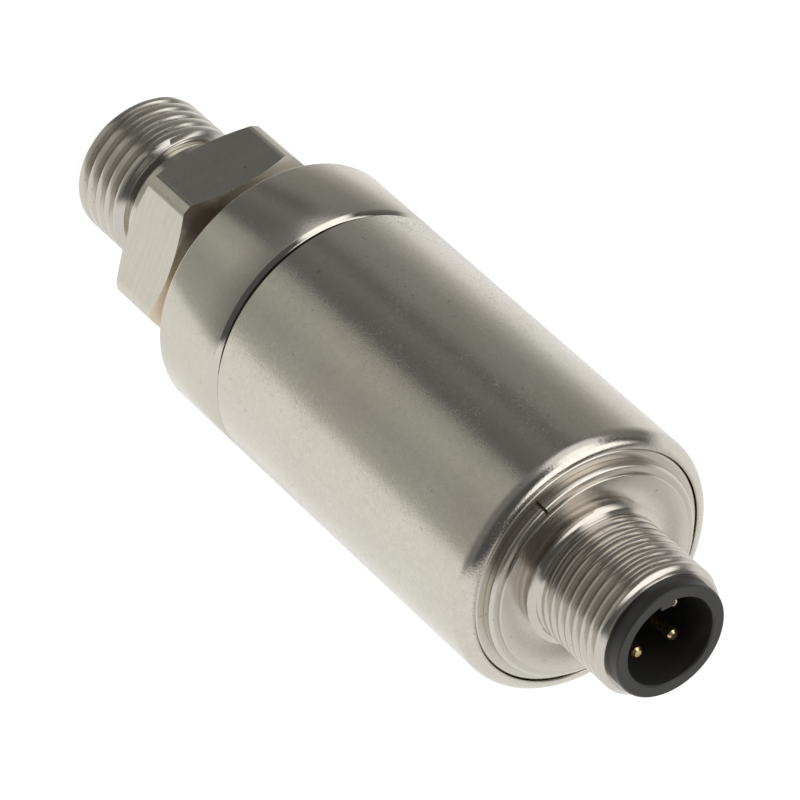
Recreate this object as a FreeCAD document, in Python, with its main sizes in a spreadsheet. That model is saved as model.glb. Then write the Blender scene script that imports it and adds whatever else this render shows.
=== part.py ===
import FreeCAD, Part
import Sketcher
import math
import os

# Pressure transmitter: a G1/4 process fitting with a hexagon, a welded collar that carries
# the measuring cell, a tube housing and an M12 connector plate.
# All lengths in mm.  Z is the common axis, Z = 0 is the end of the process thread and the
# connector points up.

doc = FreeCAD.newDocument("pressure_transmitter")
sheet = doc.addObject("Spreadsheet::Sheet", "dims")

SIZES = [
    # housing
    ("housing_diameter", 24.0, "outer diameter of collar and tube"),
    ("tube_wall", 1.25, "wall of the tube"),
    ("tube_length", 35.0, "tube from the joint groove to its lip"),
    ("nose_radius", 1.1, "rounded outer edge at the lip"),
    ("edge_break", 0.15, "small broken edges"),
    ("press_gap", 0.05, "radial gap of pressed and slid fits"),
    ("root_overlap", 0.2, "ribs and rails reach this far into their wall"),
    ("cut_margin", 2.0, "cutters reach this far past a surface"),
    # process fitting
    ("port_thread_diameter", 13.1, "G1/4 external thread, major diameter"),
    ("port_thread_length", 7.2, "threaded end"),
    ("port_chamfer", 0.9, "lead-in at the thread's end"),
    ("relief_length", 1.1, "undercut behind the thread"),
    ("relief_diameter", 11.1, "undercut, just under the thread's root"),
    ("shank_length", 3.6, "plain shank under the hexagon"),
    ("shank_diameter", 12.4, "plain shank"),
    ("hex_share", 0.75, "across flats, as a share of the housing's diameter"),
    ("hex_corner_rise", 2.3, "diameter of the turned corners over the flats"),
    ("hex_height", 6.5, "hexagon"),
    ("hex_bevel_slope", 0.577, "rise per mm of the 30 degree bevel"),
    ("neck_diameter", 14.4, "neck between hexagon and collar"),
    ("neck_length", 3.75, "neck"),
    ("spigot_diameter", 9.0, "welded spigot in the collar's floor"),
    ("inlet_diameter", 5.0, "pressure inlet"),
    ("inlet_depth", 14.0, "cylindrical part of the inlet"),
    ("channel_diameter", 2.0, "channel to the cell"),
    # collar with the measuring cell
    ("collar_length", 7.9, "full diameter part"),
    ("joint_width", 0.8, "groove between collar and tube"),
    ("joint_depth", 0.4, "depth of that groove, and rise of its bevelled side"),
    ("collar_spigot_length", 3.5, "part of the collar inside the tube"),
    ("collar_floor", 2.5, "floor of the collar"),
    ("chamber_wall", 1.15, "tube's bore to the cell chamber, on the radius"),
    ("seal_mean_diameter", 13.0, "cell seal"),
    ("seal_width", 1.7, "cell seal, radial"),
    ("seal_groove_depth", 1.0, "groove in the floor"),
    ("seal_side_gap", 0.1, "seal to groove wall"),
    ("cell_lift", 0.2, "diaphragm above the floor"),
    ("cell_side_gap", 0.85, "ceramic cell to chamber"),
    ("cell_thickness", 4.6, "ceramic base"),
    ("diaphragm_thickness", 0.4, "ceramic diaphragm"),
    ("cell_recess_diameter", 11.0, "measuring gap"),
    ("cell_recess_depth", 0.1, "measuring gap"),
    ("backing_thickness", 1.5, "backing ring"),
    ("lock_thickness", 2.5, "threaded lock ring"),
    ("ring_width", 2.75, "backing ring, on the radius"),
    ("lock_slot_width", 2.0, "two spanner slots"),
    ("lock_slot_depth", 1.2, "two spanner slots"),
    # board and its holder
    ("holder_side_gap", 0.15, "holder to tube"),
    ("holder_wall", 1.0, "holder wall"),
    ("holder_floor", 1.2, "holder floor"),
    ("holder_window_length", 9.6, "window for the cell leads"),
    ("holder_window_width", 2.4, "window for the cell leads"),
    ("rail_width", 3.2, "rails that hold the board"),
    ("rail_depth", 1.9, "rails stand in from the wall"),
    ("board_thickness", 1.2, "circuit board"),
    ("board_edge_room", 1.0, "board's edge to the holder's wall"),
    ("board_side_gap", 0.05, "board in its slots"),
    ("lead_room", 3.5, "room above the board for the leads"),
    # connector plate
    ("plate_flange_thickness", 2.0, "flange below the closing ring"),
    ("closing_ring_width", 1.6, "tube's bore to the hub, on the radius"),
    ("closing_ring_thickness", 2.0, "closing ring"),
    ("closing_ring_sink", 0.1, "closing ring below the tube's lip"),
    ("closing_ring_face", 0.25, "bevel of the closing ring's outer edge"),
    ("split_ring_inset", 0.85, "tube's bore to the split ring, on the radius"),
    ("split_ring_thickness", 0.95, "split ring, axial"),
    ("split_ring_groove", 0.4, "depth of its groove in the hub"),
    ("split_ring_opening", 0.4, "opening between its ends"),
    ("split_ring_angle", 262.0, "where the opening lies"),
    ("hub_lip", 0.25, "hub above the split ring"),
    ("plate_seal_height", 1.1, "plate seal, axial"),
    ("plate_seal_depth", 1.0, "plate seal groove, radial"),
    ("stud_diameter", 11.9, "M12 x 1 external thread, major diameter"),
    ("stud_length", 8.8, "above the plate's face"),
    ("stud_root_radius", 0.8, "fillet at the stud's root"),
    ("stud_chamfer", 0.45, "lead-in at the stud's end"),
    ("insert_bore", 9.6, "bore of the plate for the insert"),
    # connector insert and pins
    ("insert_front_diameter", 10.35, "flange that covers the stud's end"),
    ("insert_front_length", 1.25, "that flange"),
    ("insert_front_bevel", 0.12, "its front edges"),
    ("insert_cavity", 8.15, "cavity around the pins"),
    ("insert_cavity_depth", 8.5, "cavity"),
    ("insert_length", 12.9, "insert without its flange"),
    ("insert_seal_width", 1.1, "seal groove"),
    ("insert_seal_depth", 0.8, "seal groove"),
    ("key_angle", 234.5, "middle of the coding rib"),
    ("key_width", 1.3, "coding rib"),
    ("key_height", 0.75, "coding rib stands in from the wall"),
    ("key_sink", 0.3, "coding rib below the front face"),
    ("pin_circle", 4.9, "diameter of the pin circle"),
    ("pin_diameter", 1.0, "contact pin"),
    ("pin_sink", 2.0, "pin tips below the front face"),
    ("pin_tip", 0.2, "bevel of the pin tips"),
    ("pin_tail", 1.8, "pin below the insert"),
    # leads
    ("lead_diameter", 0.9, "leads from the pins to the board"),
    ("lead_landing", 1.5, "length of a lead soldered to the board"),
    ("lead_clearance", 0.3, "straight part of a lead above the board"),
    ("cell_lead_width", 0.5, "flat leads from the cell to the board"),
    ("cell_lead_thickness", 0.25, "flat leads"),
    ("cell_lead_pitch", 2.5, "flat leads"),
    ("cell_lead_lap", 3.2, "length soldered to the board"),
]
# Packages on the board: name, side of the board, rise as a share of the board's height, then
# across, width, depth and tall.
PACKAGES = [
    ("signal_chip", 1, 0.33, (0.0, 6.0, 1.2, 6.0)),
    ("regulator_chip", 1, 0.68, (-3.6, 3.6, 1.4, 3.0)),
    ("output_chip", 1, 0.66, (3.4, 4.0, 1.4, 4.6)),
    ("memory_chip", -1, 0.27, (-3.4, 4.0, 1.2, 4.0)),
    ("filter_capacitor", -1, 0.23, (3.4, 3.4, 2.4, 5.0)),
    ("protection_diode", -1, 0.62, (3.6, 3.0, 1.8, 4.4)),
]
for name, side, share, values in PACKAGES:
    for word, value in zip(("across", "width", "depth", "tall"), values):
        SIZES.append(("%s_%s" % (name, word), value, name.replace("_", " ") + ", " + word))
# Leads from the pins: side of the board and place across it.
LANDINGS = [(-1, 1.0), (1, 3.6), (1, -1.0), (-1, -3.6)]
for number, (side, across) in enumerate(LANDINGS, start=1):
    SIZES.append(("pin_lead_%d_across" % number, across, "where the lead meets the board"))
for row, (name, value, note) in enumerate(SIZES, start=1):
    sheet.set("A%d" % row, name)
    sheet.set("B%d" % row, str(value))
    sheet.setAlias("B%d" % row, name)
    sheet.set("C%d" % row, note)

# Levels above the end of the process thread, worked out from the sizes above.
LEVELS = [
    ("hex_across", "=housing_diameter * hex_share"),
    ("hex_corner_diameter", "=hex_across + hex_corner_rise"),
    ("port_stud_length", "=port_thread_length + relief_length + shank_length"),
    ("collar_base", "=port_stud_length + hex_height + neck_length"),
    ("joint_base", "=collar_base + collar_length"),
    ("tube_base", "=joint_base + joint_width"),
    ("tube_top", "=tube_base + tube_length"),
    ("collar_top", "=tube_base + collar_spigot_length"),
    ("chamber_floor", "=collar_base + collar_floor"),
    ("diaphragm_base", "=chamber_floor + cell_lift"),
    ("cell_base", "=diaphragm_base + diaphragm_thickness"),
    ("cell_top", "=cell_base + cell_thickness"),
    ("backing_top", "=cell_top + backing_thickness"),
    ("closing_top", "=tube_top - closing_ring_sink"),
    ("closing_base", "=closing_top - closing_ring_thickness"),
    ("plate_base", "=closing_base - plate_flange_thickness"),
    ("plate_face", "=closing_top + split_ring_thickness + hub_lip"),
    ("stud_top", "=plate_face + stud_length"),
    ("insert_base", "=stud_top - insert_length"),
    ("insert_front", "=stud_top + insert_front_length"),
    ("pin_base", "=insert_base - pin_tail"),
    ("pin_length", "=insert_front - pin_sink - pin_base"),
    ("board_base", "=collar_top + holder_floor"),
    ("board_height", "=pin_base - lead_room - board_base"),
    ("tube_bore", "=housing_diameter - 2 * tube_wall"),
    ("joint_diameter", "=housing_diameter - 2 * joint_depth"),
    ("chamber_diameter", "=tube_bore - 2 * chamber_wall"),
    ("cell_diameter", "=chamber_diameter - 2 * cell_side_gap"),
    ("ring_bore", "=cell_diameter - 2 * ring_width"),
    ("plate_hub_diameter", "=tube_bore - 2 * closing_ring_width"),
    ("split_ring_diameter", "=tube_bore - 2 * split_ring_inset"),
    ("holder_diameter", "=tube_bore - 2 * holder_side_gap"),
    ("holder_bore", "=holder_diameter - 2 * holder_wall"),
    ("board_width", "=holder_bore - 2 * board_edge_room"),
]
for name, side, share, values in PACKAGES:
    LEVELS.append((name + "_rise", "=board_height * %s" % share))
for row, (name, formula) in enumerate(LEVELS, start=len(SIZES) + 1):
    sheet.set("A%d" % row, name)
    sheet.set("B%d" % row, formula)
    sheet.setAlias("B%d" % row, name)
doc.recompute()


def size(name):
    return float(getattr(sheet, name))


def link(text):
    """Turn bare size names into sheet references."""
    words = text.replace("(", " ( ").replace(")", " ) ").split()
    return " ".join("dims." + w if w[0].isalpha() else w for w in words)


def new_body(name):
    body = doc.addObject("PartDesign::Body", name)
    body.Label = name
    return body


def plane(body, role):
    return [item for item in body.Origin.OriginFeatures if item.Role == role][0]


def new_sketch(body, name, role, lift=None):
    sketch = body.newObject("Sketcher::SketchObject", name)
    sketch.AttachmentSupport = (plane(body, role), [""])
    sketch.MapMode = "FlatFace"
    if lift:
        sketch.setExpression("AttachmentOffset.Base.z", link(lift))
    return sketch


def pin_point(sketch, geo, pos, across, up):
    """Fix one end point at the given distances from the sketch's origin."""
    for kind, axis, text in (("DistanceX", -2, across), ("DistanceY", -1, up)):
        if text == "0":
            sketch.addConstraint(Sketcher.Constraint("PointOnObject", geo, pos, axis))
            continue
        sign = text.startswith("-")
        ends = (geo, pos, -1, 1) if sign else (-1, 1, geo, pos)
        index = sketch.addConstraint(Sketcher.Constraint(kind, *ends, 1.0))
        sketch.setExpression("Constraints[%d]" % index, link(text.lstrip("- ")))


def outline(sketch, points):
    """Closed chain of straight lines through points given as size expressions."""
    count = len(points)
    first = sketch.GeometryCount
    spots = [FreeCAD.Vector(10 + 0.7 * i, 10 + 0.4 * i * i, 0) for i in range(count)]
    for i in range(count):
        sketch.addGeometry(Part.LineSegment(spots[i], spots[(i + 1) % count]), False)
    for i in range(count):
        sketch.addConstraint(
            Sketcher.Constraint("Coincident", first + i, 2, first + (i + 1) % count, 1))
    for i, (across, up) in enumerate(points):
        pin_point(sketch, first + i, 1, across, up)


def ring(sketch, diameter, across="0", up="0"):
    """Circle bound to a size."""
    start = FreeCAD.Vector(1, 1, 0)
    geo = sketch.addGeometry(Part.Circle(start, FreeCAD.Vector(0, 0, 1), size(diameter.split()[0])), False)
    pin_point(sketch, geo, 3, across, up)
    index = sketch.addConstraint(Sketcher.Constraint("Diameter", geo, size(diameter.split()[0])))
    sketch.setExpression("Constraints[%d]" % index, link(diameter))


def turned(body, name, points, cut=False):
    """Turn a closed profile of radius and height pairs round the body's Z axis."""
    sketch = new_sketch(body, name + "_profile", "XZ_Plane")
    outline(sketch, points)
    kind = "PartDesign::Groove" if cut else "PartDesign::Revolution"
    feature = body.newObject(kind, name)
    feature.Profile = sketch
    feature.ReferenceAxis = (sketch, ["V_Axis"])
    feature.Angle = 360.0
    sketch.Visibility = False
    return feature


def rim_edges(feature, diameter, height):
    """Names of the circular edges of one diameter at one height of the body."""
    doc.recompute()
    names = []
    for index, edge in enumerate(feature.Shape.Edges, start=1):
        curve = edge.Curve
        if not hasattr(curve, "Radius"):
            continue
        level = edge.BoundBox.Center.z
        flat = edge.BoundBox.ZLength < 1e-6
        if flat and abs(curve.Radius - diameter / 2) < 1e-4 and abs(level - height) < 1e-4:
            names.append("Edge%d" % index)
    return names


def soften(body, name, feature, rims, kind, text):
    """Fillet or chamfer the rims given as (diameter, height) pairs."""
    names = []
    for diameter, height in rims:
        names += rim_edges(feature, diameter, height)
    result = body.newObject("PartDesign::" + kind, name)
    result.Base = (feature, names)
    result.setExpression("Radius" if kind == "Fillet" else "Size", link(text))
    return result


def lift_body(body, text):
    body.setExpression("Placement.Base.z", link(text))


def turn_body(body, text):
    body.setExpression("Placement.Rotation.Angle", link(text))


# Process fitting: thread blank, undercut, shank, bevelled hexagon, neck and welded spigot.
port = new_body("process_fitting")
hex_base = "port_stud_length"
hex_end = "port_stud_length + hex_height"
bevel = "( hex_corner_diameter - hex_across ) / 2 * hex_bevel_slope"
port_turning = turned(port, "fitting_turning", [
    ("inlet_diameter / 2", "0"),
    ("port_thread_diameter / 2 - port_chamfer", "0"),
    ("port_thread_diameter / 2", "port_chamfer"),
    ("port_thread_diameter / 2", "port_thread_length"),
    ("relief_diameter / 2", "port_thread_length"),
    ("relief_diameter / 2", "port_thread_length + relief_length"),
    ("shank_diameter / 2", "port_thread_length + relief_length"),
    ("shank_diameter / 2", hex_base),
    ("hex_across / 2", hex_base),
    ("hex_corner_diameter / 2", hex_base + " + " + bevel),
    ("hex_corner_diameter / 2", hex_end + " - " + bevel),
    ("hex_across / 2", hex_end),
    ("neck_diameter / 2", hex_end),
    ("neck_diameter / 2", hex_end + " + neck_length"),
    ("spigot_diameter / 2", hex_end + " + neck_length"),
    ("spigot_diameter / 2", hex_end + " + neck_length + collar_floor"),
    ("channel_diameter / 2", hex_end + " + neck_length + collar_floor"),
    ("channel_diameter / 2", "inlet_depth + ( inlet_diameter - channel_diameter ) / 2 * hex_bevel_slope"),
    ("inlet_diameter / 2", "inlet_depth"),
])
flats = new_sketch(port, "hexagon_flats", "XY_Plane", hex_base)
ring(flats, "hex_corner_diameter + 2 * cut_margin")
half = "hex_across * 0.5"
quarter = "hex_across * 0.288675135"
tip = "hex_across * 0.577350269"
outline(flats, [
    (half, quarter),
    ("0", tip),
    ("- " + half, quarter),
    ("- " + half, "- " + quarter),
    ("0", "- " + tip),
    (half, "- " + quarter),
])
hexagon = port.newObject("PartDesign::Pocket", "hexagon")
hexagon.Profile = flats
hexagon.Reversed = True
hexagon.setExpression("Length", link("hex_height"))
flats.Visibility = False

# Collar: carries the measuring cell, is welded to the neck and enters the tube.
collar = new_body("cell_collar")
floor_top = "collar_floor"
spigot_radius = "tube_bore / 2 - press_gap"
collar_end = "collar_length + joint_width + collar_spigot_length"
collar_turning = turned(collar, "collar_turning", [
    ("spigot_diameter / 2 + press_gap", "0"),
    ("housing_diameter / 2 - edge_break", "0"),
    ("housing_diameter / 2", "edge_break"),
    ("housing_diameter / 2", "collar_length"),
    ("joint_diameter / 2", "collar_length + joint_depth"),
    ("joint_diameter / 2", "collar_length + joint_width"),
    (spigot_radius, "collar_length + joint_width"),
    (spigot_radius, collar_end),
    ("chamber_diameter / 2", collar_end),
    ("chamber_diameter / 2", floor_top),
    ("( seal_mean_diameter + seal_width ) / 2 + seal_side_gap", floor_top),
    ("( seal_mean_diameter + seal_width ) / 2 + seal_side_gap", floor_top + " - seal_groove_depth"),
    ("( seal_mean_diameter - seal_width ) / 2 - seal_side_gap", floor_top + " - seal_groove_depth"),
    ("( seal_mean_diameter - seal_width ) / 2 - seal_side_gap", floor_top),
    ("spigot_diameter / 2 + press_gap", floor_top),
])
lift_body(collar, "collar_base")

# Seal between the collar's floor and the diaphragm.
cell_seal = new_body("cell_seal")
seal_height = "seal_groove_depth + cell_lift"
seal_turning = turned(cell_seal, "cell_seal_section", [
    ("( seal_mean_diameter - seal_width ) / 2", "seal_width / 4"),
    ("( seal_mean_diameter - seal_width ) / 2 + seal_width / 4", "0"),
    ("( seal_mean_diameter + seal_width ) / 2 - seal_width / 4", "0"),
    ("( seal_mean_diameter + seal_width ) / 2", "seal_width / 4"),
    ("( seal_mean_diameter + seal_width ) / 2", seal_height + " - seal_width / 4"),
    ("( seal_mean_diameter + seal_width ) / 2 - seal_width / 4", seal_height),
    ("( seal_mean_diameter - seal_width ) / 2 + seal_width / 4", seal_height),
    ("( seal_mean_diameter - seal_width ) / 2", seal_height + " - seal_width / 4"),
])
lift_body(cell_seal, "chamber_floor - seal_groove_depth")

# Ceramic diaphragm and ceramic base with the shallow measuring gap between them.
diaphragm = new_body("cell_diaphragm")
turned(diaphragm, "diaphragm_disc", [
    ("0", "0"),
    ("cell_diameter / 2", "0"),
    ("cell_diameter / 2", "diaphragm_thickness"),
    ("0", "diaphragm_thickness"),
])
lift_body(diaphragm, "diaphragm_base")

cell = new_body("cell_base")
turned(cell, "cell_base_disc", [
    ("0", "cell_recess_depth"),
    ("cell_recess_diameter / 2", "cell_recess_depth"),
    ("cell_recess_diameter / 2", "0"),
    ("cell_diameter / 2", "0"),
    ("cell_diameter / 2", "cell_thickness - edge_break"),
    ("cell_diameter / 2 - edge_break", "cell_thickness"),
    ("0", "cell_thickness"),
])
lift_body(cell, "cell_base")

backing = new_body("backing_ring")
turned(backing, "backing_ring_section", [
    ("ring_bore / 2", "0"),
    ("cell_diameter / 2", "0"),
    ("cell_diameter / 2", "backing_thickness"),
    ("ring_bore / 2", "backing_thickness"),
])
lift_body(backing, "cell_top")

# Lock ring with two spanner slots across its top.
lock = new_body("lock_ring")
turned(lock, "lock_ring_section", [
    ("ring_bore / 2", "0"),
    ("chamber_diameter / 2 - press_gap - edge_break", "0"),
    ("chamber_diameter / 2 - press_gap", "edge_break"),
    ("chamber_diameter / 2 - press_gap", "lock_thickness - edge_break"),
    ("chamber_diameter / 2 - press_gap - edge_break", "lock_thickness"),
    ("ring_bore / 2", "lock_thickness"),
])
slots = new_sketch(lock, "lock_slot_outline", "XY_Plane", "lock_thickness")
outline(slots, [
    ("chamber_diameter / 2", "- lock_slot_width / 2"),
    ("chamber_diameter / 2", "lock_slot_width / 2"),
    ("- chamber_diameter / 2", "lock_slot_width / 2"),
    ("- chamber_diameter / 2", "- lock_slot_width / 2"),
])
lock_slots = lock.newObject("PartDesign::Pocket", "lock_slots")
lock_slots.Profile = slots
lock_slots.setExpression("Length", link("lock_slot_depth"))
slots.Visibility = False
lift_body(lock, "backing_top")

# Tube housing with a rounded lip.
tube = new_body("housing_tube")
tube_turning = turned(tube, "tube_turning", [
    ("tube_bore / 2", "0"),
    ("housing_diameter / 2 - edge_break", "0"),
    ("housing_diameter / 2", "edge_break"),
    ("housing_diameter / 2", "tube_length"),
    ("tube_bore / 2", "tube_length"),
])
soften(tube, "tube_nose", tube_turning, [(size("housing_diameter"), size("tube_length"))],
       "Fillet", "nose_radius")
lift_body(tube, "tube_base")

# Connector plate: flange, hub with the split ring's groove, and the M12 stud.
plate = new_body("connector_plate")
flange = "plate_flange_thickness"
hub_groove = flange + " + closing_ring_thickness"
hub_top = hub_groove + " + split_ring_thickness"
face = hub_top + " + hub_lip"
seal_low = "( plate_flange_thickness - plate_seal_height ) / 2"
seal_high = "( plate_flange_thickness + plate_seal_height ) / 2"
flange_radius = "tube_bore / 2 - press_gap"
plate_turning = turned(plate, "plate_turning", [
    ("insert_bore / 2", "0"),
    (flange_radius, "0"),
    (flange_radius, seal_low),
    (flange_radius + " - plate_seal_depth", seal_low),
    (flange_radius + " - plate_seal_depth", seal_high),
    (flange_radius, seal_high),
    (flange_radius, flange),
    ("plate_hub_diameter / 2", flange),
    ("plate_hub_diameter / 2", hub_groove),
    ("plate_hub_diameter / 2 - split_ring_groove", hub_groove),
    ("plate_hub_diameter / 2 - split_ring_groove", hub_top),
    ("plate_hub_diameter / 2", hub_top),
    ("plate_hub_diameter / 2", face),
    ("stud_diameter / 2", face),
    ("stud_diameter / 2", face + " + stud_length - stud_chamfer"),
    ("stud_diameter / 2 - stud_chamfer", face + " + stud_length"),
    ("insert_bore / 2", face + " + stud_length"),
])
plate_height = size("plate_face") - size("plate_base")
soften(plate, "stud_root", plate_turning, [(size("stud_diameter"), plate_height)],
       "Fillet", "stud_root_radius")
lift_body(plate, "plate_base")

plate_seal = new_body("plate_seal")
turned(plate_seal, "plate_seal_section", [
    (flange_radius + " - plate_seal_depth + seal_side_gap", "0"),
    ("tube_bore / 2", "0"),
    ("tube_bore / 2", "plate_seal_height"),
    (flange_radius + " - plate_seal_depth + seal_side_gap", "plate_seal_height"),
])
lift_body(plate_seal, "plate_base + " + seal_low)

# Closing ring pressed into the tube round the hub.
closing = new_body("closing_ring")
turned(closing, "closing_ring_section", [
    ("plate_hub_diameter / 2 + press_gap", "0"),
    ("tube_bore / 2 - press_gap", "0"),
    ("tube_bore / 2 - press_gap", "closing_ring_thickness - closing_ring_face"),
    ("tube_bore / 2 - press_gap - closing_ring_face / 2", "closing_ring_thickness"),
    ("plate_hub_diameter / 2 + press_gap", "closing_ring_thickness"),
])
lift_body(closing, "closing_base")

# Split ring in the hub's groove, with its opening cut through.
split = new_body("split_ring")
turned(split, "split_ring_section", [
    ("plate_hub_diameter / 2 - split_ring_groove + press_gap", "0"),
    ("split_ring_diameter / 2", "0"),
    ("split_ring_diameter / 2", "split_ring_thickness - edge_break"),
    ("split_ring_diameter / 2 - edge_break", "split_ring_thickness"),
    ("plate_hub_diameter / 2 - split_ring_groove + press_gap", "split_ring_thickness"),
])
opening = new_sketch(split, "split_opening_outline", "XY_Plane")
outline(opening, [
    ("plate_hub_diameter / 2 - cut_margin", "- split_ring_opening / 2"),
    ("split_ring_diameter / 2 + cut_margin", "- split_ring_opening / 2"),
    ("split_ring_diameter / 2 + cut_margin", "split_ring_opening / 2"),
    ("plate_hub_diameter / 2 - cut_margin", "split_ring_opening / 2"),
])
split_cut = split.newObject("PartDesign::Pocket", "split_opening")
split_cut.Profile = opening
split_cut.Reversed = True
split_cut.setExpression("Length", link("split_ring_thickness"))
opening.Visibility = False
lift_body(split, "closing_top")
turn_body(split, "split_ring_angle")

# Connector insert: flange, cavity round the pins, coding rib and four pin holes.
insert = new_body("connector_insert")
insert_radius = "insert_bore / 2 - press_gap"
insert_end = "insert_length + insert_front_length"
cavity_floor = insert_end + " - insert_cavity_depth"
groove_low = "insert_seal_width"
insert_turning = turned(insert, "insert_moulding", [
    ("0", "0"),
    (insert_radius, "0"),
    (insert_radius, groove_low),
    (insert_radius + " - insert_seal_depth", groove_low),
    (insert_radius + " - insert_seal_depth", groove_low + " + insert_seal_width"),
    (insert_radius, groove_low + " + insert_seal_width"),
    (insert_radius, "insert_length"),
    ("insert_front_diameter / 2", "insert_length"),
    ("insert_front_diameter / 2", insert_end + " - insert_front_bevel"),
    ("insert_front_diameter / 2 - insert_front_bevel", insert_end),
    ("insert_cavity / 2 + insert_front_bevel", insert_end),
    ("insert_cavity / 2", insert_end + " - insert_front_bevel"),
    ("insert_cavity / 2", cavity_floor),
    ("0", cavity_floor),
])
rib = new_sketch(insert, "coding_rib_outline", "XY_Plane", cavity_floor)
outline(rib, [
    ("insert_cavity / 2 - key_height", "- key_width / 2"),
    ("insert_cavity / 2 + root_overlap", "- key_width / 2"),
    ("insert_cavity / 2 + root_overlap", "key_width / 2"),
    ("insert_cavity / 2 - key_height", "key_width / 2"),
])
coding_rib = insert.newObject("PartDesign::Pad", "coding_rib")
coding_rib.Profile = rib
coding_rib.setExpression("Length", link("insert_cavity_depth - key_sink"))
rib.Visibility = False
holes = new_sketch(insert, "pin_hole_outline", "XY_Plane")
ring(holes, "pin_diameter + press_gap", "pin_circle * 0.353553391", "pin_circle * 0.353553391")
pin_hole = insert.newObject("PartDesign::Pocket", "pin_hole")
pin_hole.Profile = holes
pin_hole.Reversed = True
pin_hole.setExpression("Length", link(cavity_floor))
holes.Visibility = False
pin_holes = insert.newObject("PartDesign::PolarPattern", "pin_holes")
pin_holes.Originals = [pin_hole]
pin_holes.Axis = (holes, ["N_Axis"])
pin_holes.Angle = 360.0
pin_holes.Occurrences = 4
insert.Tip = pin_holes
lift_body(insert, "insert_base")
turn_body(insert, "key_angle")

insert_seal = new_body("insert_seal")
turned(insert_seal, "insert_seal_section", [
    (insert_radius + " - insert_seal_depth + seal_side_gap", "0"),
    ("insert_bore / 2", "0"),
    ("insert_bore / 2", "insert_seal_width"),
    (insert_radius + " - insert_seal_depth + seal_side_gap", "insert_seal_width"),
])
lift_body(insert_seal, "insert_base + insert_seal_width")

# Four gold contact pins on the pin circle, 45 degrees off the coding rib.
PIN_TURNS = [45, 135, 225, 315]
for number, turn in enumerate(PIN_TURNS, start=1):
    pin = new_body("contact_pin_%d" % number)
    turned(pin, "pin_%d_turning" % number, [
        ("0", "0"),
        ("pin_diameter / 2", "0"),
        ("pin_diameter / 2", "pin_length - pin_tip"),
        ("pin_diameter / 2 - pin_tip", "pin_length"),
        ("0", "pin_length"),
    ])
    lift_body(pin, "pin_base")
    for axis, call in (("x", "cos"), ("y", "sin")):
        pin.setExpression("Placement.Base." + axis,
                          "dims.pin_circle / 2 * %s((dims.key_angle + %d) * 1deg)" % (call, turn))

# Board holder: a sleeve with a floor, a window for the flat leads and two slotted rails.
holder = new_body("board_holder")
holder_height = "plate_base - collar_top"
turned(holder, "holder_sleeve", [
    ("0", "0"),
    ("holder_diameter / 2", "0"),
    ("holder_diameter / 2", holder_height),
    ("holder_bore / 2", holder_height),
    ("holder_bore / 2", "holder_floor"),
    ("0", "holder_floor"),
])
rails = new_sketch(holder, "rail_outline", "XY_Plane", "holder_floor")
slot_half = "board_thickness / 2 + board_side_gap"
for side in ("", "- "):
    outline(rails, [
        (side + "( holder_bore / 2 - rail_depth )", "- rail_width / 2"),
        (side + "( holder_bore / 2 + root_overlap )", "- rail_width / 2"),
        (side + "( holder_bore / 2 + root_overlap )", "rail_width / 2"),
        (side + "( holder_bore / 2 - rail_depth )", "rail_width / 2"),
        (side + "( holder_bore / 2 - rail_depth )", slot_half),
        (side + "( board_width / 2 + board_side_gap )", slot_half),
        (side + "( board_width / 2 + board_side_gap )", "- ( " + slot_half + " )"),
        (side + "( holder_bore / 2 - rail_depth )", "- ( " + slot_half + " )"),
    ])
rail_pad = holder.newObject("PartDesign::Pad", "rails")
rail_pad.Profile = rails
rail_pad.setExpression("Length", link("board_height"))
rails.Visibility = False
window = new_sketch(holder, "lead_window_outline", "XY_Plane")
outline(window, [
    ("- holder_window_length / 2", "board_thickness / 2"),
    ("holder_window_length / 2", "board_thickness / 2"),
    ("holder_window_length / 2", "board_thickness / 2 + holder_window_width"),
    ("- holder_window_length / 2", "board_thickness / 2 + holder_window_width"),
])
window_cut = holder.newObject("PartDesign::Pocket", "lead_window")
window_cut.Profile = window
window_cut.Reversed = True
window_cut.setExpression("Length", link("holder_floor"))
window.Visibility = False
lift_body(holder, "collar_top")

# Circuit board, upright in the rails.
board = new_body("circuit_board")
board_outline = new_sketch(board, "board_outline", "XY_Plane")
outline(board_outline, [
    ("- board_width / 2", "- board_thickness / 2"),
    ("board_width / 2", "- board_thickness / 2"),
    ("board_width / 2", "board_thickness / 2"),
    ("- board_width / 2", "board_thickness / 2"),
])
board_pad = board.newObject("PartDesign::Pad", "board_plate")
board_pad.Profile = board_outline
board_pad.setExpression("Length", link("board_height"))
board_outline.Visibility = False
lift_body(board, "board_base")

# Packages, flat on the two faces of the board.
for name, side, share, values in PACKAGES:
    box = doc.addObject("Part::Box", name)
    box.Label = name
    box.setExpression("Length", "dims.%s_width" % name)
    box.setExpression("Width", "dims.%s_depth" % name)
    box.setExpression("Height", "dims.%s_tall" % name)
    near = "dims.board_thickness / 2" if side > 0 else "-dims.board_thickness / 2 - dims.%s_depth" % name
    box.setExpression("Placement.Base.x", "dims.%s_across - dims.%s_width / 2" % (name, name))
    box.setExpression("Placement.Base.y", near)
    box.setExpression("Placement.Base.z", "dims.board_base + dims.%s_rise" % name)

# Flat leads from the top of the cell to the foot of the board.
for number, step in enumerate((-1.5, -0.5, 0.5, 1.5), start=1):
    name = "cell_lead_%d" % number
    strip = doc.addObject("Part::Box", name)
    strip.Label = name
    strip.setExpression("Length", "dims.cell_lead_width")
    strip.setExpression("Width", "dims.cell_lead_thickness")
    strip.setExpression("Height", "dims.board_base - dims.cell_top + dims.cell_lead_lap")
    strip.setExpression("Placement.Base.x", "%s * dims.cell_lead_pitch - dims.cell_lead_width / 2" % step)
    strip.setExpression("Placement.Base.y", "dims.board_thickness / 2")
    strip.setExpression("Placement.Base.z", "dims.cell_top")
doc.recompute()



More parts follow.
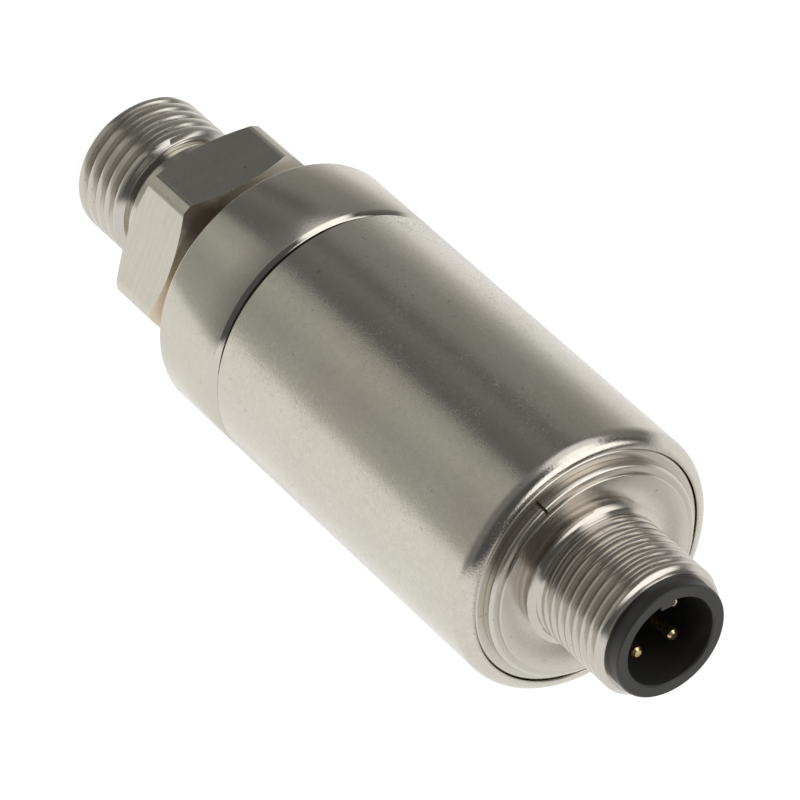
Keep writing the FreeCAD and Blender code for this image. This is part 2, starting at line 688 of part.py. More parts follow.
def lead_shape(turn, side, across):
    """Insulated lead: an S bend of two equal arcs, then straight down the board's face."""
    angle = math.radians(size("key_angle") + turn)
    reach = size("pin_circle") / 2
    board_top = size("board_base") + size("board_height")
    beside = side * (size("board_thickness") + size("lead_diameter")) / 2
    start = FreeCAD.Vector(reach * math.cos(angle), reach * math.sin(angle), size("pin_base"))
    knee = FreeCAD.Vector(across, beside, board_top + size("lead_clearance"))
    end = FreeCAD.Vector(across, beside, board_top - size("lead_landing"))
    shift = FreeCAD.Vector(knee.x - start.x, knee.y - start.y, 0)
    drop = start.z - knee.z
    radius = (drop ** 2 + shift.Length ** 2) / (4 * shift.Length)
    half = math.atan2(shift.Length, drop)
    side_step = shift.normalize() * radius * (1 - math.cos(half))
    down_step = FreeCAD.Vector(0, 0, -radius * math.sin(half))
    middle = (start + knee) * 0.5
    path = Part.Wire([
        Part.Arc(start, start + side_step + down_step, middle).toShape(),
        Part.Arc(middle, knee - side_step - down_step, knee).toShape(),
        Part.LineSegment(knee, end).toShape(),
    ])
    section = Part.Wire(Part.makeCircle(size("lead_diameter") / 2, start, FreeCAD.Vector(0, 0, -1)))
    return path.makePipeShell([section], True, True)


for number, (turn, (side, _)) in enumerate(zip(PIN_TURNS, LANDINGS), start=1):
    name = "pin_lead_%d" % number
    across = size(name + "_across")
    lead = doc.addObject("Part::Feature", name)
    lead.Label = name
    lead.Shape = lead_shape(turn, side, across)
doc.recompute()

# Export every sub-part in its place.
NODES = [item for item in doc.Objects
         if item.isDerivedFrom("PartDesign::Body") or item.TypeId in ("Part::Box", "Part::Feature")]
faults = [item.Name for item in doc.Objects if "Invalid" in item.State or "Error" in item.State]
if faults:
    raise SystemExit("features with faults: " + ", ".join(faults))
os.makedirs("parts", exist_ok=True)
for node in NODES:
    shape = node.Shape
    if shape.isNull() or not shape.isValid() or len(shape.Solids) != 1:
        raise SystemExit("bad shape: " + node.Label)
    shape.exportStep("parts/%s.step" % node.Label)
    reach = shape.BoundBox
    print("%-20s %8.1f mm3  z %7.2f to %7.2f" % (node.Label, shape.Volume, reach.ZMin, reach.ZMax))
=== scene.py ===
import math
import bpy
from mathutils import Euler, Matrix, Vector


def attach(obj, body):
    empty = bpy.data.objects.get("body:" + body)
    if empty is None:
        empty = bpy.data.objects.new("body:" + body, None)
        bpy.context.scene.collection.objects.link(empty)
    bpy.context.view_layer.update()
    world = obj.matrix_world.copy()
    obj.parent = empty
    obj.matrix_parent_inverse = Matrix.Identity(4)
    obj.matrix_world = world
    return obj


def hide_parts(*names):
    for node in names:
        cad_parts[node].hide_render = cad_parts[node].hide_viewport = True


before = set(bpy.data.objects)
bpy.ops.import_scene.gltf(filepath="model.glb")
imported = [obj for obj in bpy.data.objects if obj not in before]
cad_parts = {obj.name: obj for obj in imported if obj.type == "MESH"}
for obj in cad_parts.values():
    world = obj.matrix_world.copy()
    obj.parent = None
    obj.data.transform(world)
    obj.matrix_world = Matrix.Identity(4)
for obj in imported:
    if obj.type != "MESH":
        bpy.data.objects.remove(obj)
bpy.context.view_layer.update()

MM = 0.001
TAU = 2 * math.pi

# ---------------------------------------------------------------- sizes, mm
# Pairs are the lower and upper height on the axis.
HOUSING_R = 12.0
BORE_R = 10.75
FIT_R = 10.7  # pieces that sit in the tube's bore
FLOOR_Z = -0.4

# process fitting
PORT_THREAD = (0.0, 7.2)
PORT_PITCH = 1.337
PORT_R = 6.55
PORT_DEPTH = 0.58
PORT_TIP_R = 5.65
PORT_RUNOUT = 1.1  # growth of the radius in the run-out, per height away from the hexagon
INLET_R = 2.5
INLET_END = 14.0
CHANNEL_R = 1.0
CHANNEL_START = 14.9
UNDERCUT_R = 5.55
UNDERCUT = (7.25, 8.0)
SHOULDER = [(6.0, 8.3), (6.2, 8.32)]  # radius and height, from the undercut to the shank
SHANK_R = 6.2
NECK_R = 7.2
HEX = (11.9, 18.4)
HEX_FLAT = 9.0
HEX_CORNER = 10.15
BEVEL_RISE = 0.577  # height over radius, for a bevel of 30 degrees
OVERLAP_START = 6.8  # the hexagon's shell begins here, inside the thread's shell
OVERLAP_R = 5.0

# collar and tube
COLLAR = (22.15, 30.05)
COLLAR_BORE_R = 7.3
COLLAR_ROUND = 0.2
CHAMBER_R = 9.6
CHAMBER = (24.65, 34.35)
JOINT_R = 11.6
JOINT_WALL_R = JOINT_R - 0.3
JOINT_PROFILE = [  # radius, height over the collar's end, from the outside into the groove
    (HOUSING_R, -0.03), (HOUSING_R - 0.03, 0.02), (JOINT_R + 0.02, 0.39),
    (JOINT_R - 0.05, 0.42), (JOINT_WALL_R, 0.44)]
TUBE = (30.85, 65.85)
TUBE_ROUND = 0.12
TUBE_SHADE_HEIGHT = 0.11  # height of the dark band at the joint: painted shade of the gap, with some dirt
NOSE_R = 1.1
NOSE_LENGTH = 1.45
LIP_CHAMFER = 0.05

# connector end
CLOSING = (63.75, 65.75)
CLOSING_BORE_R = 9.2
CLOSING_ROUND = 0.24
SPLIT = (65.75, 66.70)
SPLIT_R = 9.9
SPLIT_BORE_R = 8.8
SPLIT_ROUND = 0.34
SPLIT_TURN = math.radians(262.0)
SPLIT_OPENING = 0.25
RING_CHAMFER = 0.05
FLANGE_START = 61.75
SEAL_GROOVE = (62.2, 63.3)
SEAL_GROOVE_R = 9.7
HUB_R = 9.15
HUB_ROUND = 0.14
SPLIT_GROOVE_R = 8.75
PLATE_FACE = 66.95
PLATE_BORE_R = 4.8
FACE_OVERLAP_R = 6.0  # the plate's face runs on to here, then dips inside the stud
DISH_R = 5.0
DISH_DEPTH = 0.3
STUD_TOP = 75.75
STUD_PITCH = 1.0
STUD_R = 5.95
STUD_DEPTH = 0.45
STUD_TIP_R = 5.5
STUD_RUNOUT_R = 5.78
STUD_RUNOUT_FALL = 0.5
STUD_RUNOUT_START = 0.55
STUD_RUNOUT_LENGTH = 0.5
ROOT_FILLET = 0.8

# ---------------------------------------------------------------- mesh makers
WELD_DISTANCE = 0.002
SHARP_ANGLE = math.radians(40)
ROUND_STEPS = 256
FULL_TURN = [TAU * i / ROUND_STEPS for i in range(ROUND_STEPS)]


def finish_mesh(name, verts, faces):
    mesh = bpy.data.meshes.new(name)
    mesh.from_pydata([(x * MM, y * MM, z * MM) for x, y, z in verts], [], faces)
    mesh.validate()
    obj = bpy.data.objects.new(name, mesh)
    bpy.context.scene.collection.objects.link(obj)
    weld = obj.modifiers.new("weld", "WELD")
    weld.merge_threshold = WELD_DISTANCE * MM
    for polygon in mesh.polygons:
        polygon.use_smooth = True
    mesh.set_sharp_from_angle(angle=SHARP_ANGLE)
    return obj


def dress(obj, materials, slot_of=None):
    """Materials in slot order; slot_of gives the slot of a face."""
    for material in materials:
        obj.data.materials.append(material)
    if slot_of:
        for polygon in obj.data.polygons:
            polygon.material_index = slot_of(polygon)


def revolve(profile, angles, closed=True):
    """Rows of points for each angle; radius and height may be functions of the angle."""
    verts, faces = [], []
    count = len(profile)
    for angle in angles:
        for radius, height in profile:
            r = radius(angle) if callable(radius) else radius
            z = height(angle) if callable(height) else height
            verts.append((r * math.cos(angle), r * math.sin(angle), z))
    turns = len(angles)
    for i in range(turns if closed else turns - 1):
        j = (i + 1) % turns
        for k in range(count):
            m = (k + 1) % count
            faces.append((i * count + k, j * count + k, j * count + m, i * count + m))
    if not closed:
        faces.append(tuple(range(count)))
        faces.append(tuple(range((turns - 1) * count, turns * count))[::-1])
    return verts, faces


def join(*shells):
    """Several shells as one list of points and one of faces."""
    verts, faces = [], []
    for v, f in shells:
        base = len(verts)
        verts += v
        faces += [tuple(base + i for i in face) for face in f]
    return verts, faces


def rounded(radius, height, size, steps, below=False):
    """Points round the outer corner at this radius and height; below is for a lower corner."""
    centre = height + size if below else height - size
    first = -90 if below else 0
    points = []
    for i in range(steps + 1):
        a = math.radians(first + 90 * i / steps)
        points.append((radius - size + size * math.cos(a), centre + size * math.sin(a)))
    return points


def thread_shell(span, pitch, major, depth, bore, envelope, steps, lead, crest, root,
                 floor=None):
    """Closed shell with a helical groove outside and a plain bore inside.

    lead shifts the helix by a share of a turn; crest and root are half widths in pitches."""
    low, high = span
    half = 0.5
    shape = [  # place across one turn of the thread, and level from root 0 to crest 1
        (0.0, 1.0), (crest * 0.65, 0.99), (crest, 0.92),
        (half - root, 0.12), (half - root * 0.45, 0.02), (half, 0.0),
        (half + root * 0.45, 0.02), (half + root, 0.12),
        (1 - crest, 0.92), (1 - crest * 0.65, 0.99)]
    pairs = shape + [(1.0, 1.0)]

    def radius_at(phase):
        phase = phase % 1.0
        for (a, la), (b, lb) in zip(pairs, pairs[1:]):
            if a <= phase <= b:
                return major - depth * (1 - (la + (lb - la) * (phase - a) / (b - a)))
        return major

    # the count begins two turns low, so that the helix fills the span at every angle
    turns = int((high - low) / pitch) + 3
    verts, faces = [], []
    row = turns * len(shape)
    for i in range(steps + 1):
        angle = TAU * i / steps
        shift = angle / TAU + lead
        for k in range(turns):
            for offset, _ in shape:
                z = low + (k - 2 + offset + shift) * pitch
                z = min(max(z, low), high)
                r = radius_at((z - low) / pitch - shift)
                r = min(r, envelope(z))
                if floor:
                    r = max(r, floor(z))
                verts.append((r * math.cos(angle), r * math.sin(angle), z))
    for i in range(steps):
        a, b = i * row, (i + 1) * row
        for k in range(row - 1):
            faces.append((a + k, b + k, b + k + 1, a + k + 1))
    # end faces down to the bore, and the bore itself
    base = len(verts)
    for i in range(steps + 1):
        angle = TAU * i / steps
        verts.append((bore * math.cos(angle), bore * math.sin(angle), low))
        verts.append((bore * math.cos(angle), bore * math.sin(angle), high))
    for i in range(steps):
        a, b = base + 2 * i, base + 2 * i + 2
        faces.append((a, b, (i + 1) * row, i * row))
        faces.append((i * row + row - 1, (i + 1) * row + row - 1, b + 1, a + 1))
        faces.append((a + 1, b + 1, b, a))
    return verts, faces


# ---------------------------------------------------------------- node helpers
class Nodes:
    """Small helper for building a node tree line by line."""

    def __init__(self, tree):
        self.tree = tree
        tree.nodes.clear()

    def add(self, kind, **values):
        node = self.tree.nodes.new(kind)
        for key, value in values.items():
            setattr(node, key, value)
        return node

    def link(self, source, target):
        self.tree.links.new(source, target)

    def feed(self, slot, value):
        """Link an output, or set a number or colour on the slot itself."""
        if hasattr(value, "links"):
            self.link(value, slot)
        elif isinstance(value, (int, float)):
            slot.default_value = value
        else:
            slot.default_value = (*value, 1)

    def math(self, operation, *values):
        node = self.add("ShaderNodeMath", operation=operation)
        for slot, value in zip(node.inputs, values):
            self.feed(slot, value)
        return node.outputs[0]

    def ramp(self, value, stops):
        node = self.add("ShaderNodeValToRGB")
        elements = node.color_ramp.elements
        while len(elements) < len(stops):
            elements.new(0.5)
        for element, (place, colour) in zip(elements, stops):
            element.position = place
            element.color = (*colour, 1)
        self.link(value, node.inputs[0])
        return node.outputs[0]

    def span(self, value, start, end, smooth=True):
        """0 up to start, 1 from end on."""
        node = self.add("ShaderNodeMapRange")
        node.interpolation_type = "SMOOTHSTEP" if smooth else "LINEAR"
        self.link(value, node.inputs[0])
        node.inputs["From Min"].default_value = start
        node.inputs["From Max"].default_value = end
        return node.outputs[0]

    def noise(self, vector, scale, detail, roughness, distortion=0.0):
        node = self.add("ShaderNodeTexNoise")
        node.inputs["Scale"].default_value = scale
        node.inputs["Detail"].default_value = detail
        node.inputs["Roughness"].default_value = roughness
        node.inputs["Distortion"].default_value = distortion
        self.link(vector, node.inputs["Vector"])
        return node.outputs["Fac"]

    def stretch(self, vector, scale):
        node = self.add("ShaderNodeMapping")
        node.inputs["Scale"].default_value = scale
        self.link(vector, node.inputs["Vector"])
        return node.outputs["Vector"]

    def mix(self, factor, a, b, blend="MIX"):
        node = self.add("ShaderNodeMix", data_type="RGBA", blend_type=blend)
        for index, value in ((0, factor), (6, a), (7, b)):
            self.feed(node.inputs[index], value)
        return node.outputs[2]

    def vary(self, shade, pattern, amount):
        """Shade plus the pattern's swing round its middle."""
        return self.math("MULTIPLY_ADD", self.math("SUBTRACT", pattern, 0.5), amount, shade)

    def grey(self, value):
        node = self.add("ShaderNodeCombineXYZ")
        for slot in node.inputs:
            self.link(value, slot)
        return node.outputs[0]

    def bump(self, height, strength, distance, normal=None):
        node = self.add("ShaderNodeBump")
        node.inputs["Strength"].default_value = strength
        node.inputs["Distance"].default_value = distance
        self.link(height, node.inputs["Height"])
        if normal:
            self.link(normal, node.inputs["Normal"])
        return node.outputs["Normal"]


# ---------------------------------------------------------------- materials
# Noise scales count features per metre, as the scene is in metres.
FINE_GRAIN = 6200.0
COARSE_GRAIN = 1900.0
PATCHES = 170.0
TOOL_LINES = (160.0, 160.0, 3200.0)
WARM_CLOUDS = 75.0
SPECK_SCALE = 1500.0
SPECK_COLOUR = (0.12, 0.11, 0.10)
SCUFF_SCALE = 1600.0
WORN_AREAS = 130.0
GRAIN_HEIGHT = 0.00005
PATCH_HEIGHT = 0.0002
PLASTIC_GRAIN = 6000.0
PLASTIC_CLOUDS = 400.0
PLASTIC_GRAIN_HEIGHT = 0.00002
WELD_CLOUDS = 420.0
WELD_SHIFT = 0.005
WELD_REACH = 0.010
WELD_COLOURS = [  # place across the fitting from -X to +X, temper colour
    (0.0, (0.66, 0.63, 0.56)), (0.2, (0.56, 0.53, 0.46)), (0.34, (0.47, 0.44, 0.37)),
    (0.42, (0.25, 0.20, 0.165)), (0.55, (0.28, 0.235, 0.20)), (0.62, (0.52, 0.50, 0.40)),
    (0.74, (0.58, 0.54, 0.42)), (0.8, (0.90, 0.73, 0.59)), (0.92, (0.92, 0.78, 0.65)),
    (1.0, (0.80, 0.78, 0.53))]


def new_material(name):
    material = bpy.data.materials.new(name)
    material.use_nodes = True
    nodes = Nodes(material.node_tree)
    shader = nodes.add("ShaderNodeBsdfPrincipled")
    output = nodes.add("ShaderNodeOutputMaterial")
    nodes.link(shader.outputs[0], output.inputs[0])
    place = nodes.add("ShaderNodeTexCoord").outputs["Object"]
    return material, nodes, shader, place


def steel(name, colour=(0.66, 0.64, 0.59), rough=0.13, grain=1.0, turned=0.0, milled=0.0,
          specks=0.3):
    """Satin stainless: fine blasted grain, faint tool lines round the axis, small marks."""
    material, n, shader, place = new_material(name)
    fine = n.noise(place, FINE_GRAIN, detail=3.0, roughness=0.65)
    coarse = n.noise(place, COARSE_GRAIN, detail=3.0, roughness=0.6, distortion=0.6)
    patch = n.noise(place, PATCHES, detail=4.0, roughness=0.6)
    lines = n.noise(n.stretch(place, TOOL_LINES), 1.0, detail=5.0, roughness=0.72,
                    distortion=0.3)

    height = n.math("MULTIPLY", fine, grain)
    height = n.math("MULTIPLY_ADD", coarse, grain * 0.35, height)
    height = n.math("MULTIPLY_ADD", lines, turned + milled, height)
    normal = n.bump(height, strength=0.19, distance=GRAIN_HEIGHT)
    normal = n.bump(patch, strength=0.02, distance=PATCH_HEIGHT, normal=normal)
    n.link(normal, shader.inputs["Normal"])

    shade = n.vary(0.98, coarse, 0.22 * grain)
    shade = n.vary(shade, fine, 0.18 * grain)
    shade = n.vary(shade, lines, 0.6 * milled)
    shade = n.vary(shade, patch, 0.12)
    warmth = n.span(n.noise(place, WARM_CLOUDS, detail=2.0, roughness=0.5), 0.38, 0.62)
    metal = n.mix(warmth, colour, (colour[0] * 1.01, colour[1] * 0.985, colour[2] * 0.985))
    base = n.mix(1.0, metal, n.grey(shade), "MULTIPLY")
    dots = n.noise(place, SPECK_SCALE, detail=1.0, roughness=0.5)
    base = n.mix(n.math("MULTIPLY", n.span(dots, 0.74, 0.80), specks), base, SPECK_COLOUR)
    n.link(base, shader.inputs["Base Color"])

    marks = n.noise(place, SCUFF_SCALE, detail=5.0, roughness=0.75, distortion=2.2)
    scuffs = n.span(marks, 0.50, 0.66)
    worn = n.span(n.noise(place, WORN_AREAS, detail=2.0, roughness=0.5), 0.35, 0.6)
    matt = n.math("MULTIPLY_ADD", n.math("MULTIPLY", scuffs, worn), 0.30 * grain, rough - 0.05)
    n.link(n.math("MULTIPLY_ADD", patch, 0.10, matt), shader.inputs["Roughness"])
    shader.inputs["Metallic"].default_value = 1.0
    return material


def plastic(name, colour, rough):
    """Moulded plastic, rubber or ceramic: a fine matt grain and a slightly uneven colour."""
    material, n, shader, place = new_material(name)
    fine = n.noise(place, PLASTIC_GRAIN, detail=2.0, roughness=0.6)
    broad = n.noise(place, PLASTIC_CLOUDS, detail=3.0, roughness=0.6)
    normal = n.bump(fine, strength=0.3, distance=PLASTIC_GRAIN_HEIGHT)
    n.link(normal, shader.inputs["Normal"])
    n.link(n.mix(broad, [c * 0.85 for c in colour], colour), shader.inputs["Base Color"])
    n.link(n.math("MULTIPLY_ADD", broad, 0.1, rough - 0.05), shader.inputs["Roughness"])
    return material


def weld_tint():
    """Temper colours left by the weld: dark brown near the middle of X, straw towards +X."""
    material, n, shader, place = new_material("weld_tinted_steel")
    split = n.add("ShaderNodeSeparateXYZ")
    n.link(place, split.inputs[0])
    clouds = n.noise(place, WELD_CLOUDS, detail=3.0, roughness=0.6)
    across = n.vary(split.outputs[0], clouds, WELD_SHIFT)
    colours = n.ramp(n.span(across, -WELD_REACH, WELD_REACH, smooth=False), WELD_COLOURS)
    n.link(colours, shader.inputs["Base Color"])
    n.link(n.math("MULTIPLY_ADD", clouds, 0.1, 0.28), shader.inputs["Roughness"])
    shader.inputs["Metallic"].default_value = 0.6
    return material


def pale_floor():
    """Matt grey that glows, so that the floor shows as plain white."""
    material, _, shader, _ = new_material("pale_floor")
    shader.inputs["Base Color"].default_value = (0.30, 0.30, 0.305, 1)
    shader.inputs["Roughness"].default_value = 1.0
    shader.inputs["Specular IOR Level"].default_value = 0.0
    shader.inputs["Emission Color"].default_value = (1, 1, 1, 1)
    shader.inputs["Emission Strength"].default_value = 0.90
    return material


STEEL_TUBE = steel("satin_steel")
STEEL_COLLAR = steel("satin_steel_collar", grain=0.6, turned=0.15)
STEEL_GROOVE = steel("groove_steel", colour=(0.66, 0.645, 0.60), rough=0.08, grain=0.15)
STEEL_FITTING = steel("milled_steel", colour=(0.68, 0.655, 0.60), rough=0.11, grain=0.3,
                      milled=0.35)
STEEL_WELD = weld_tint()
STEEL_PLATE = steel("turned_steel", colour=(0.62, 0.595, 0.545), rough=0.17, grain=0.45)
STEEL_RING = steel("ring_steel", rough=0.24, grain=0.12, turned=0.15)
STEEL_THREAD = steel("thread_steel", colour=(0.63, 0.61, 0.57), rough=0.19, grain=0.3)
# Dark matt finish for the joint: painted shade of the gap under the tube's edge, with some dirt.
JOINT_SHADE = plastic("joint_painted_shade", (0.035, 0.032, 0.028), rough=0.6)
BLACK = plastic("black_plastic", (0.038, 0.038, 0.037), rough=0.42)
GOLD = steel("gold_plating", colour=(0.95, 0.74, 0.40), rough=0.24, grain=0.3, specks=0.0)
RUBBER = plastic("seal_rubber", (0.02, 0.02, 0.02), rough=0.6)
CERAMIC = plastic("cell_ceramic", (0.80, 0.79, 0.74), rough=0.35)
HOLDER = plastic("holder_plastic", (0.45, 0.45, 0.42), rough=0.5)
LAMINATE = plastic("board_laminate", (0.02, 0.16, 0.07), rough=0.35)
PACKAGE = plastic("package_plastic", (0.03, 0.03, 0.03), rough=0.5)
LEAD = plastic("lead_insulation", (0.28, 0.05, 0.04), rough=0.4)

# ---------------------------------------------------------------- process fitting
HEX_SIDES = 6
FLAT_STEPS = 32
CORNER_STEPS = 6


def hex_radius(angle):
    """Flats square to X; the corners are turned off."""
    side = TAU / HEX_SIDES
    turn = (angle + side / 2) % side - side / 2
    return min(HEX_FLAT / math.cos(turn), HEX_CORNER)


def hex_bevel(angle):
    """How far the bevel reaches from the hexagon's end face at this angle."""
    return (hex_radius(angle) - HEX_FLAT) * BEVEL_RISE


def hex_angles():
    """Even steps on each flat and, between flats, on each turned corner."""
    side = 360 / HEX_SIDES
    half = math.degrees(math.acos(HEX_FLAT / HEX_CORNER))
    angles = []
    for number in range(HEX_SIDES):
        middle = side * number
        flat = [middle - half + 2 * half * i / FLAT_STEPS for i in range(FLAT_STEPS)]
        corner = [middle + half + (side - 2 * half) * i / CORNER_STEPS
                  for i in range(CORNER_STEPS)]
        angles += [math.radians(a) for a in flat + corner]
    return angles


def port_envelope(z):
    """Chamfer at the tip, full thread, and the run-out down to the root."""
    runout = PORT_R - PORT_DEPTH + (PORT_THREAD[1] - z) * PORT_RUNOUT
    return min(PORT_TIP_R + z, PORT_R, runout)


def fitting_slot(polygon):
    """0 milled steel, 1 tinted by the weld, 2 thread."""
    z = polygon.center.z
    if z < PORT_THREAD[1] * MM:
        return 2
    bevel = z > (HEX[0] + HEX[1]) / 2 * MM and polygon.normal.z > 0.3
    return 1 if bevel or z > HEX[1] * MM else 0


hex_shell = revolve([
    (INLET_R, OVERLAP_START), (OVERLAP_R, OVERLAP_START), (UNDERCUT_R, UNDERCUT[0]),
    (UNDERCUT_R, UNDERCUT[1]), *SHOULDER, (SHANK_R, HEX[0]), (HEX_FLAT, HEX[0]),
    (hex_radius, lambda a: HEX[0] + hex_bevel(a)),
    (hex_radius, lambda a: HEX[1] - hex_bevel(a)),
    (HEX_FLAT, HEX[1]), (NECK_R, HEX[1]), (NECK_R, COLLAR[0]), (CHANNEL_R, COLLAR[0]),
    (CHANNEL_R, CHANNEL_START), (INLET_R, INLET_END),
], hex_angles())
port_thread = thread_shell(
    span=PORT_THREAD, pitch=PORT_PITCH, major=PORT_R, depth=PORT_DEPTH, bore=INLET_R,
    envelope=port_envelope, steps=200, lead=0.1, crest=0.27, root=0.09)
fitting = finish_mesh("fitting", *join(hex_shell, port_thread))
dress(fitting, [STEEL_FITTING, STEEL_WELD, STEEL_THREAD], fitting_slot)
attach(fitting, "root")
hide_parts("process_fitting")

# ---------------------------------------------------------------- collar and tube
collar = finish_mesh("collar", *revolve(
    [(COLLAR_BORE_R, COLLAR[0])]
    + rounded(HOUSING_R, COLLAR[0], COLLAR_ROUND, steps=4, below=True)
    + [(radius, COLLAR[1] + rise) for radius, rise in JOINT_PROFILE]
    + [(JOINT_WALL_R, TUBE[0]), (FIT_R, TUBE[0]), (FIT_R, CHAMBER[1]), (CHAMBER_R, CHAMBER[1]),
       (CHAMBER_R, CHAMBER[0]), (COLLAR_BORE_R, CHAMBER[0])], FULL_TURN))
dress(collar, [STEEL_COLLAR, STEEL_GROOVE],
      lambda polygon: int(COLLAR[1] * MM < polygon.center.z < TUBE[0] * MM))
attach(collar, "root")
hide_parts("cell_collar")

nose = [(radius, TUBE[1] - (TUBE[1] - z) * NOSE_LENGTH / NOSE_R)
        for radius, z in rounded(HOUSING_R, TUBE[1], NOSE_R, steps=14)]
tube = finish_mesh("tube", *revolve(
    [(BORE_R, TUBE[0])]
    + rounded(HOUSING_R, TUBE[0], TUBE_ROUND, steps=4, below=True)
    + nose
    + [(BORE_R + LIP_CHAMFER, TUBE[1]), (BORE_R, TUBE[1] - LIP_CHAMFER)], FULL_TURN))
# The tube's lower edge at the joint is painted dark: painted shade of the gap, with some dirt.
dress(tube, [STEEL_TUBE, JOINT_SHADE],
      lambda polygon: int(polygon.center.z < (TUBE[0] + TUBE_SHADE_HEIGHT) * MM))
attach(tube, "root")
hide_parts("housing_tube")

# ---------------------------------------------------------------- connector end
closing = finish_mesh("closing", *revolve(
    [(CLOSING_BORE_R, CLOSING[0]), (FIT_R, CLOSING[0])]
    + rounded(FIT_R, CLOSING[1], CLOSING_ROUND, steps=6)
    + [(CLOSING_BORE_R + RING_CHAMFER, CLOSING[1]),
       (CLOSING_BORE_R, CLOSING[1] - RING_CHAMFER)], FULL_TURN))
dress(closing, [STEEL_RING])
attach(closing, "root")
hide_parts("closing_ring")

SPLIT_STEPS = 250
gap = SPLIT_OPENING / SPLIT_R
split_angles = [SPLIT_TURN + gap / 2 + (TAU - gap) * i / SPLIT_STEPS
                for i in range(SPLIT_STEPS + 1)]
split = finish_mesh("split", *revolve(
    [(SPLIT_BORE_R, SPLIT[0]), (SPLIT_R - RING_CHAMFER, SPLIT[0]),
     (SPLIT_R, SPLIT[0] + RING_CHAMFER)]
    + rounded(SPLIT_R, SPLIT[1], SPLIT_ROUND, steps=8)
    + [(SPLIT_BORE_R, SPLIT[1])], split_angles, closed=False))
dress(split, [STEEL_RING])
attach(split, "root")
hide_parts("split_ring")


def stud_envelope(z):
    """Full thread, and the chamfer at the tip."""
    return min(STUD_R, STUD_TIP_R + STUD_TOP - z)


def stud_floor(z):
    """Root fillet and the thread's run-out next to the plate's face."""
    up = z - PLATE_FACE
    share = min(max(up - STUD_RUNOUT_START, 0.0) / STUD_RUNOUT_LENGTH, 1.0)
    fading = STUD_RUNOUT_R - STUD_RUNOUT_FALL * share
    if up > ROOT_FILLET:
        return fading
    return fading + ROOT_FILLET - math.sqrt(ROOT_FILLET ** 2 - (ROOT_FILLET - up) ** 2)


plate_shell = revolve(
    [(PLATE_BORE_R, FLANGE_START), (FIT_R, FLANGE_START), (FIT_R, SEAL_GROOVE[0]),
     (SEAL_GROOVE_R, SEAL_GROOVE[0]), (SEAL_GROOVE_R, SEAL_GROOVE[1]), (FIT_R, SEAL_GROOVE[1]),
     (FIT_R, CLOSING[0]), (HUB_R, CLOSING[0]), (HUB_R, SPLIT[0]), (SPLIT_GROOVE_R, SPLIT[0]),
     (SPLIT_GROOVE_R, SPLIT[1]), (HUB_R, SPLIT[1])]
    + rounded(HUB_R, PLATE_FACE, HUB_ROUND, steps=5)
    + [(FACE_OVERLAP_R, PLATE_FACE), (DISH_R, PLATE_FACE - DISH_DEPTH),
       (PLATE_BORE_R, PLATE_FACE - DISH_DEPTH)], FULL_TURN)
stud_thread = thread_shell(
    span=(PLATE_FACE, STUD_TOP), pitch=STUD_PITCH, major=STUD_R, depth=STUD_DEPTH,
    bore=PLATE_BORE_R, envelope=stud_envelope, steps=220, lead=0.35, crest=0.25, root=0.1,
    floor=stud_floor)
plate = finish_mesh("plate", *join(plate_shell, stud_thread))
dress(plate, [STEEL_PLATE, STEEL_THREAD],
      lambda polygon: int(polygon.center.z > (PLATE_FACE + ROOT_FILLET) * MM))
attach(plate, "root")
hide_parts("connector_plate")

# ---------------------------------------------------------------- pieces kept as in the CAD
CAD_MATERIALS = [
    (BLACK, ["connector_insert", "backing_ring"]),
    (RUBBER, ["cell_seal", "plate_seal", "insert_seal"]),
    (CERAMIC, ["cell_diaphragm", "cell_base"]),
    (STEEL_RING, ["lock_ring"]),
    (HOLDER, ["board_holder"]),
    (LAMINATE, ["circuit_board"]),
    (PACKAGE, ["signal_chip", "regulator_chip", "output_chip", "memory_chip",
               "filter_capacitor", "protection_diode"]),
]
for kind, material in (("contact_pin", GOLD), ("cell_lead", GOLD), ("pin_lead", LEAD)):
    CAD_MATERIALS.append((material, [f"{kind}_{number}" for number in range(1, 5)]))
for material, names in CAD_MATERIALS:
    for name in names:
        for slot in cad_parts[name].material_slots:
            slot.material = material

# ---------------------------------------------------------------- floor
FLOOR_SIZE = 8.0  # metres
bpy.ops.mesh.primitive_plane_add(size=FLOOR_SIZE, location=(0, 0, FLOOR_Z * MM))
floor = bpy.context.object
floor.name = "floor"
dress(floor, [pale_floor()])
floor.visible_glossy = False
floor.visible_diffuse = False
floor.visible_transmission = False
floor.visible_shadow = False

# ---------------------------------------------------------------- studio light
# The surroundings are a table below and soft boxes above, given by direction: FRONT points
# level from the object towards the camera, RIGHT to its +X side and UP along its axis.
FRONT = Vector((-0.035, -0.999, 0.0))
RIGHT = Vector((0.999, -0.035, 0.0))
UP = Vector((0.0, 0.0, 1.0))
TABLE = [  # degrees from FRONT towards RIGHT, brightness of the table, its blue share
    (-180, 0.98, 0.98), (-152, 0.90, 0.97), (-130, 0.85, 0.96), (-112, 0.48, 0.95),
    (-94, 0.29, 0.94), (-70, 0.25, 0.93), (-57, 0.14, 0.96), (-44, 0.20, 0.93),
    (-34, 0.15, 0.96), (-19, 0.14, 0.97), (-12, 0.37, 0.90), (4, 0.46, 0.89), (26, 0.37, 0.90),
    (48, 0.42, 0.90), (57, 0.50, 0.91), (65, 0.90, 0.94), (80, 0.93, 0.94), (130, 0.91, 0.95),
    (180, 0.98, 0.98)]
SOFT_BOXES = [  # direction, where its edge starts and ends as a cosine, brightness
    (RIGHT - FRONT * 0.62 + UP * 0.09, 0.49, 0.63, 0.93),
    (-FRONT - RIGHT * 0.35, 0.68, 0.86, 0.95),
    (FRONT * 0.59 - RIGHT * 0.79 + UP * 0.12, 0.86, 0.95, 0.95),
    (-RIGHT * 0.45 + UP * 0.893, 0.86, 0.94, 1.60),
    (FRONT * 0.42 - RIGHT * 0.726 + UP * 0.545, 0.93, 0.975, 1.50),
]
RED_SHARE = 1.01
BLUE_SHARE = 0.965
LOW_WALLS = 0.21
CEILING = 0.09
WALL_FADE = (0.1, 0.6)  # UP share of a direction, from the walls to the ceiling
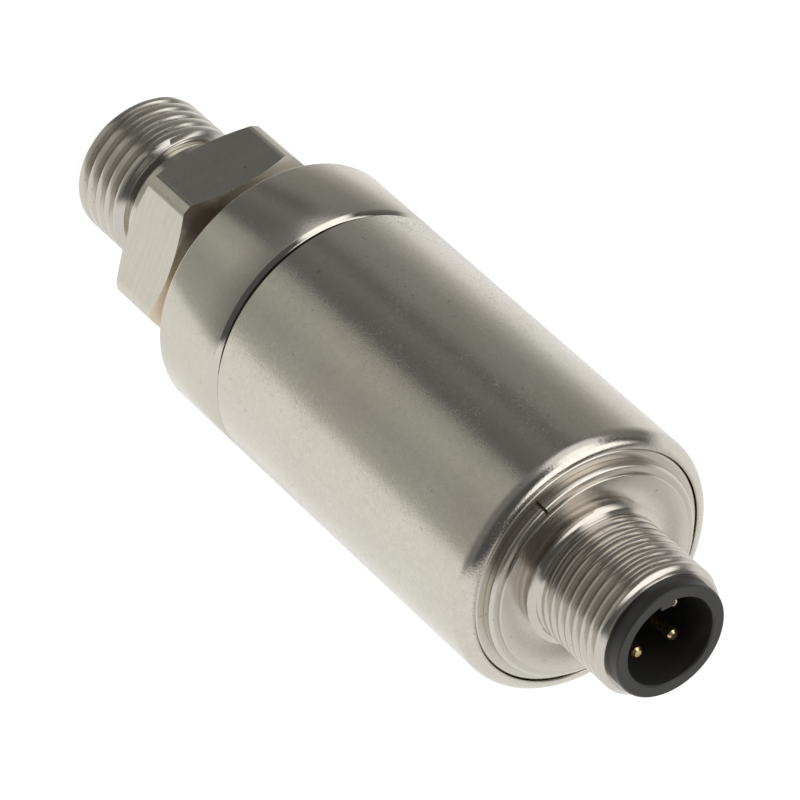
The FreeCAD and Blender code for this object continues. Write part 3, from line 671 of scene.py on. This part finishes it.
TABLE_FADE = (-0.55, -0.1)  # the same, from the table to what is over it
PLAIN_WHITE = (1.01, 1.01, 1.01)


def tone(value, blue=BLUE_SHARE):
    return (value * RED_SHARE, value, value * blue)


world = bpy.data.worlds.new("studio")
bpy.context.scene.world = world
world.use_nodes = True
w = Nodes(world.node_tree)
ray = w.add("ShaderNodeTexCoord").outputs["Generated"]


def along(direction):
    node = w.add("ShaderNodeVectorMath", operation="DOT_PRODUCT")
    w.link(ray, node.inputs[0])
    node.inputs[1].default_value = direction
    return node.outputs["Value"]


turn = w.math("ARCTAN2", along(RIGHT), along(FRONT))
compass = w.math("MULTIPLY_ADD", turn, 1 / TAU, 0.5)
table = w.ramp(compass, [(0.5 + angle / 360, tone(value, blue)) for angle, value, blue in TABLE])
height = along(UP)
surround = w.mix(w.span(height, *WALL_FADE), tone(LOW_WALLS), tone(CEILING))
for direction, start, end, value in SOFT_BOXES:
    surround = w.mix(w.span(along(direction), start, end), surround, tone(value))
surround = w.mix(w.span(height, *TABLE_FADE), table, surround)
light_path = w.add("ShaderNodeLightPath")
seen = w.mix(light_path.outputs["Is Camera Ray"], surround, PLAIN_WHITE)
background = w.add("ShaderNodeBackground")
w.link(seen, background.inputs["Color"])
background.inputs["Strength"].default_value = 1.0
out = w.add("ShaderNodeOutputWorld")
w.link(background.outputs[0], out.inputs[0])

# ---------------------------------------------------------------- camera
CAMERA_PLACE = (-0.01433, -0.39629, 0.37900)
CAMERA_TURN = (-38.133, -34.291, 142.234)  # degrees
LENS = 289.07
SENSOR_WIDTH = 36.0
CLIP_START = 0.01

camera_data = bpy.data.cameras.new("camera")
camera = bpy.data.objects.new("camera", camera_data)
bpy.context.scene.collection.objects.link(camera)
camera.location = CAMERA_PLACE
camera.rotation_euler = Euler([math.radians(a) for a in CAMERA_TURN], "XYZ")
camera_data.lens = LENS
camera_data.sensor_width = SENSOR_WIDTH
camera_data.clip_start = CLIP_START
bpy.context.scene.camera = camera
bpy.context.scene.view_settings.view_transform = "Standard"
